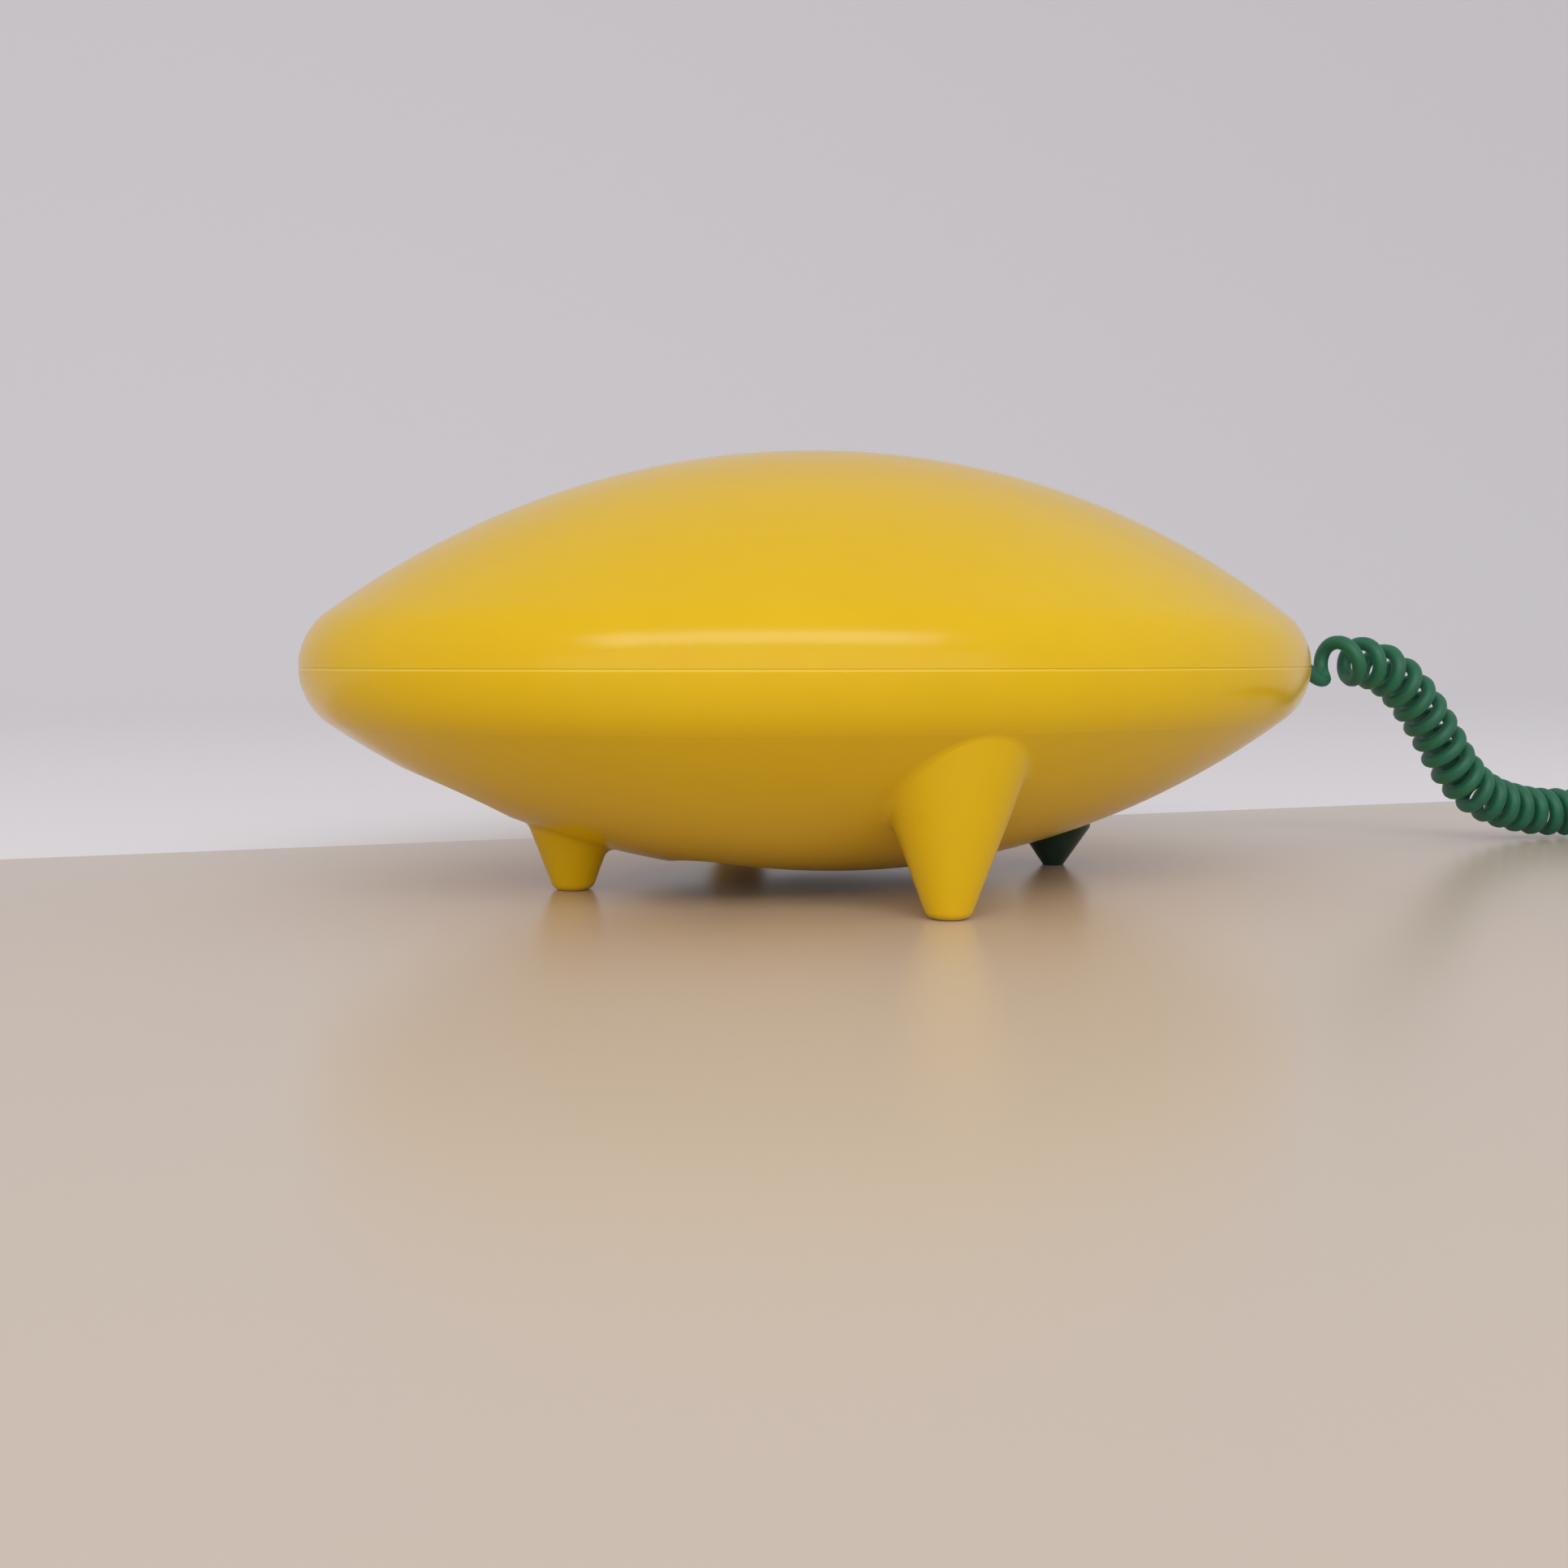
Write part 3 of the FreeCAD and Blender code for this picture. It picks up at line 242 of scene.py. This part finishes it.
# Finishes
def shell_yellow():
    """Satin moulded plastic with a fine spark-eroded grain, a little faded and soiled, and a painted
    light band along the seam.
    """
    clean = opaque((0.790, 0.490, 0.001))
    deep = opaque((0.755, 0.440, 0.001))
    faded = opaque((0.805, 0.515, 0.003))
    # Painted light: the colour of the paler band along the seam, which offsets the shade in the
    # parting-line groove.
    pale = opaque((0.900, 0.640, 0.030))
    soil = opaque((0.380, 0.230, 0.020))
    deep_share = 0.2
    tip_soil = 0.5
    speck_soil = 0.7
    speck_reach = 0.055
    rare_level = 0.68
    least_roughness = 0.17
    roughness_spread = 0.03
    finish = Finish("shell_yellow")
    broad = finish.noise(scale=9.0, detail=3.0)
    mottle = finish.noise(scale=140.0, detail=4.0, roughness=0.6)
    grain = finish.noise(scale=2600.0, detail=3.0, roughness=0.55)
    height = finish.axis("Z")
    from_seam = abs(height - SEAM_HEIGHT * MM)
    # Painted light: a paler band within 0.2 to 0.4 mm of the seam stands in for light, offsetting the
    # shade that falls in the groove.
    painted_seam_light = 1.0 - finish.clamped(from_seam, low=0.2 * MM, high=0.4 * MM)
    near_table = 1.0 - finish.clamped(height, low=0.2 * MM, high=1.6 * MM)
    tips = near_table * finish.clamped(mottle, low=0.3, high=0.6)
    specks = (speck_reach - finish.cells(scale=420.0)) > 0.0
    rare = finish.noise(scale=60.0, detail=1.0) > rare_level
    colour = finish.mix(finish.clamped(broad, low=0.42, high=0.62), clean, faded)
    colour = finish.mix(finish.clamped(mottle, low=0.45, high=0.75) * deep_share, colour, deep)
    colour = finish.mix(painted_seam_light, colour, pale)
    colour = finish.mix(tips * tip_soil, colour, soil)
    colour = finish.mix(specks * rare * speck_soil, colour, soil)
    normal = finish.bump(grain, strength=0.35, depth=0.02)
    roughness = least_roughness + finish.clamped(mottle, low=0.3, high=0.8) * roughness_spread
    roughness = roughness + grain * roughness_spread
    return finish.surface(Base_Color=colour, Roughness=roughness, Normal=normal, Specular_IOR_Level=0.32)


def key_green():
    """Semi-gloss dark green moulding with slight handling wear."""
    clean = opaque((0.006, 0.036, 0.024))
    worn = opaque((0.010, 0.052, 0.034))
    least_roughness = 0.24
    roughness_spread = 0.16
    finish = Finish("key_green")
    mottle = finish.noise(scale=300.0, detail=3.0)
    colour = finish.mix(finish.clamped(mottle, low=0.4, high=0.75), clean, worn)
    roughness = least_roughness + mottle * roughness_spread
    normal = finish.bump(finish.noise(scale=2200.0), strength=0.18, depth=GRAIN_DEPTH)
    return finish.surface(Base_Color=colour, Roughness=roughness, Normal=normal, IOR=PLASTIC_IOR)


def cord_green():
    """Flexible green jacket, smooth with slight drag marks."""
    clean = opaque((0.011, 0.150, 0.072))
    dull = opaque((0.016, 0.115, 0.062))
    least_roughness = 0.42
    roughness_spread = 0.14
    finish = Finish("cord_green")
    mottle = finish.noise(scale=180.0, detail=4.0, roughness=0.6)
    colour = finish.mix(finish.clamped(mottle, low=0.35, high=0.7), clean, dull)
    roughness = least_roughness + mottle * roughness_spread
    normal = finish.bump(finish.noise(scale=900.0), strength=0.12, depth=GRAIN_DEPTH)
    return finish.surface(Base_Color=colour, Roughness=roughness, Normal=normal, IOR=PLASTIC_IOR)


def plain_moulding(name, first, second, least_roughness):
    """Moulded plastic or rubber in two near tones."""
    roughness_spread = 0.12
    finish = Finish(name)
    mottle = finish.noise(scale=220.0, detail=3.0)
    colour = finish.mix(finish.clamped(mottle, low=0.35, high=0.7), opaque(first), opaque(second))
    roughness = least_roughness + mottle * roughness_spread
    normal = finish.bump(finish.noise(scale=1500.0), strength=0.15, depth=GRAIN_DEPTH)
    return finish.surface(Base_Color=colour, Roughness=roughness, Normal=normal)


def bare_metal(name, first, second, least_roughness):
    """Plated or drawn metal with slight clouding."""
    roughness_spread = 0.15
    finish = Finish(name)
    cloud = finish.noise(scale=260.0, detail=4.0, roughness=0.6)
    colour = finish.mix(finish.clamped(cloud, low=0.35, high=0.7), opaque(first), opaque(second))
    roughness = least_roughness + cloud * roughness_spread
    normal = finish.bump(finish.noise(scale=1800.0), strength=0.1, depth=GRAIN_DEPTH)
    return finish.surface(Base_Color=colour, Metallic=1.0, Roughness=roughness, Normal=normal)


def clear_plastic():
    """Clear moulded plug, a little cloudy."""
    clear = opaque((0.86, 0.90, 0.88))
    cloudy = opaque((0.74, 0.80, 0.77))
    least_roughness = 0.08
    roughness_spread = 0.1
    see_through = 0.65
    finish = Finish("clear_plug")
    cloud = finish.noise(scale=300.0, detail=3.0)
    colour = finish.mix(cloud, clear, cloudy)
    roughness = least_roughness + cloud * roughness_spread
    return finish.surface(
        Base_Color=colour,
        Roughness=roughness,
        Transmission_Weight=see_through,
        IOR=PLASTIC_IOR,
    )


def digit_white():
    """Printed digits, thin at some edges."""
    fresh = opaque((0.78, 0.78, 0.78))
    thin = opaque((0.52, 0.52, 0.52))
    least_roughness = 0.45
    roughness_spread = 0.1
    finish = Finish("digit_white")
    worn = finish.noise(scale=1400.0, detail=3.0)
    colour = finish.mix(finish.clamped(worn, low=0.55, high=0.8), fresh, thin)
    return finish.surface(Base_Color=colour, Roughness=least_roughness + worn * roughness_spread)


def slot_finishes():
    """One finish for each of the record's slots."""
    made = {
        "shell_yellow": shell_yellow(),
        "key_green": key_green(),
        "cord_green": cord_green(),
        "clear_plug": clear_plastic(),
    }
    for slot, look in MOULDINGS.items():
        made[slot] = plain_moulding(slot, *look)
    for slot, look in METALS.items():
        made[slot] = bare_metal(slot, *look)
    return made


def dress_nodes(finishes):
    """Gives each solid the finish of its slot."""
    for subpart in frame["record"]["subparts"]:
        node = frame["nodes"][subpart["node"]]
        node.data.materials.clear()
        node.data.materials.append(finishes[subpart["material_slot"]])


def metres(points):
    return [tuple(MM * value for value in point) for point in points]


def add_object(name, data):
    """New object in the scene that holds the given data."""
    made = bpy.data.objects.new(name, data)
    bpy.context.scene.collection.objects.link(made)
    return made


# Cord
def spline_curve(name, points):
    """Curve of one open NURBS spline with the given control points, in metres."""
    curve = bpy.data.curves.new(name, "CURVE")
    curve.dimensions = "3D"
    spline = curve.splines.new("NURBS")
    spline.points.add(len(points) - 1)
    for control, point in zip(spline.points, points):
        control.co = (*point, 1.0)
    spline.order_u = SPLINE_ORDER
    spline.use_endpoint_u = True
    return curve


def line_of(points):
    """Points read along the smooth line that the route's points control."""
    curve = spline_curve("route_line", metres(points))
    curve.resolution_u = ROUTE_RESOLUTION
    holder = bpy.data.objects.new("route_line", curve)
    mesh = bpy.data.meshes.new_from_object(holder)
    line = np.array([vertex.co for vertex in mesh.vertices]) / MM
    bpy.data.objects.remove(holder)
    bpy.data.curves.remove(curve)
    bpy.data.meshes.remove(mesh)
    return line


def travelled(line):
    """Distance from the start to each point of a line."""
    return np.concatenate([[0], np.cumsum(np.linalg.norm(np.diff(line, axis=0), axis=1))])


def read_at(places, along, values):
    """Values of a line at the given distances from its start."""
    return np.stack([np.interp(places, along, values[:, axis]) for axis in range(3)], axis=1)


def carried_normals(line):
    """Normals along a line that turn with it and don't twist, starting downward."""
    headings = np.gradient(line, axis=0)
    headings /= np.linalg.norm(headings, axis=1)[:, None]
    normal = np.array((0.0, 0.0, -1.0))
    normals = []
    for heading in headings:
        normal = normal - heading * normal.dot(heading)
        normal /= np.linalg.norm(normal)
        normals.append(normal)
    return np.array(normals), np.cross(headings, np.array(normals))


def eased(share):
    """Goes from 0 to 1 with a level start and end."""
    share = np.clip(share, 0, 1)
    return share * share * (3 - 2 * share)


def curled(line):
    """Evenly spaced points of a helix wound round a line, with open and leaning curls near its ends."""
    along = travelled(line)
    places = np.linspace(0, along[-1], FINE_POINTS)
    from_end = np.clip(np.minimum(places - CORD_LEAD, along[-1] - PLUG_LEAD - places), 0, None)
    openness = np.exp(-from_end / OPEN_REACH)
    pitch = CURL_PITCH + (OPEN_PITCH - CURL_PITCH) * openness
    rate = 2 * math.pi / pitch * np.clip(from_end / CURL_EASE, 0, 1)
    turn = np.cumsum(rate) * places[1]
    grown = (places - CORD_LEAD) / CURL_EASE + 1
    left = (along[-1] - places) / PLUG_LEAD
    radius = (CURL_OUTSIDE - WIRE) / 2 * eased(np.minimum(grown, left))
    normals, acrosses = carried_normals(line)
    out = read_at(places, along, normals) * np.cos(turn)[:, None]
    out += read_at(places, along, acrosses) * np.sin(turn)[:, None]
    lean = CURL_LEAN * openness * np.cos(turn)
    out += read_at(places, along, np.cross(normals, acrosses)) * lean[:, None]
    helix = read_at(places, along, line) + out * radius[:, None]
    wire = travelled(helix)
    return read_at(np.linspace(0, wire[-1], round(wire[-1] / WIRE_STEP)), wire, helix)


def make_cord(finish):
    """The cord's jacket, one round wire along its curls."""
    points = curled(line_of((CORD_EXIT, *CORD_ROUTE)))
    curve = spline_curve("curly_cord_jacket", metres(points))
    curve.resolution_u = WIRE_RESOLUTION
    curve.bevel_depth = WIRE / 2 * MM
    curve.bevel_resolution = WIRE_ROUNDNESS
    curve.use_fill_caps = True
    curve.materials.append(finish)
    cord = add_object("curly_cord_jacket", curve)
    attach(cord, "phone")
    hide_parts("curly_cord")
    metres([CORD_EXIT])[0]


# Digits on the keys
def make_digits(finish):
    """A thin printed digit on the face of each key, read with the earpiece end up."""
    for sign in KEY_SIGNS:
        low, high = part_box("key_" + sign)
        text = bpy.data.curves.new("digit_" + sign, "FONT")
        text.body = sign
        text.size = DIGIT_SIZE * MM
        text.extrude = DIGIT_RAISE * MM
        text.align_x = "CENTER"
        text.align_y = "CENTER"
        text.materials.append(finish)
        digit = add_object("digit_" + sign, text)
        digit.location = ((low[0] + high[0]) / 2, (low[1] + high[1]) / 2, low[2])
        digit.rotation_euler = DIGIT_FACING.to_euler()
        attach(digit, "key_" + sign)


# Stage, light and camera
def stage_pale():
    """Beige floor in front of the join, and a whiter, duller one behind it."""
    beige = opaque((0.66, 0.56, 0.46))
    light_beige = opaque((0.70, 0.595, 0.495))
    near_white = opaque((0.92, 0.885, 0.895))
    front_roughness = 0.25
    added_behind = 0.45
    finish = Finish("stage_pale")
    front = finish.mix(finish.noise(scale=3.0), beige, light_beige)
    behind = finish.axis("Y") > FLOOR_JOIN * MM
    colour = finish.mix(behind, front, near_white)
    return finish.surface(Base_Color=colour, Roughness=front_roughness + behind * added_behind)


def make_stage():
    """Pale floor that turns up into a far backdrop."""
    profile = [(-FLOOR_REACH, 0.0)]
    for step in range(BACKDROP_STEPS + 1):
        turn = math.pi / 2 * step / BACKDROP_STEPS
        reach = BACKDROP_PLACE - BACKDROP_BEND * (1 - math.sin(turn))
        profile.append((reach, BACKDROP_BEND * (1 - math.cos(turn))))
    profile.append((BACKDROP_PLACE, BACKDROP_HEIGHT))
    points = [(side * FLOOR_REACH, reach, height) for side in (-1, 1) for reach, height in profile]
    count = len(profile)
    faces = [(row, row + 1, count + row + 1, count + row) for row in range(count - 1)]
    mesh = bpy.data.meshes.new("stage")
    mesh.from_pydata(metres(points), [], faces)
    mesh.polygons.foreach_set("use_smooth", [True] * len(faces))
    mesh.materials.append(stage_pale())
    stage = add_object("stage", mesh)


def make_light(name, place, size, watts):
    """Rectangular lamp that faces the middle of the part."""
    lamp = bpy.data.lights.new(name, "AREA")
    lamp.shape = "RECTANGLE"
    lamp.size = size[0] * MM
    lamp.size_y = size[1] * MM
    lamp.energy = watts
    light = add_object(name, lamp)
    light.location = Vector(place) * MM
    light.rotation_euler = (Vector(LIGHT_TARGET) - Vector(place)).to_track_quat("-Z", "Y").to_euler()


def make_lights():
    """Even pale surroundings, a long window above the viewer and a weak fill below it."""
    world = bpy.data.worlds.new("studio")
    world.use_nodes = True
    background = world.node_tree.nodes["Background"]
    background.inputs["Color"].default_value = WORLD_COLOUR
    background.inputs["Strength"].default_value = WORLD_STRENGTH
    bpy.context.scene.world = world
    make_light("window", WINDOW_PLACE, WINDOW_SIZE, WINDOW_WATTS)
    make_light("fill", FILL_PLACE, FILL_SIZE, FILL_WATTS)


def make_camera():
    """Camera at the photograph's place, level apart from its pitch."""
    data = bpy.data.cameras.new("camera")
    data.sensor_width = SENSOR
    data.lens = LENS
    data.clip_start = CAMERA_NEAR * MM
    camera = add_object("camera", data)
    level = Vector((*CAMERA_AHEAD, 0)).normalized()
    aim = level * math.cos(CAMERA_PITCH) - Vector((0, 0, math.sin(CAMERA_PITCH)))
    camera.location = Vector(CAMERA_PLACE) * MM
    camera.rotation_euler = aim.to_track_quat("-Z", "Y").to_euler()
    bpy.context.scene.camera = camera


bpy.context.scene.view_settings.view_transform = "Standard"
make_camera()
finishes = slot_finishes()
dress_nodes(finishes)
make_cord(finishes["cord_green"])
make_digits(digit_white())
make_stage()
make_lights()
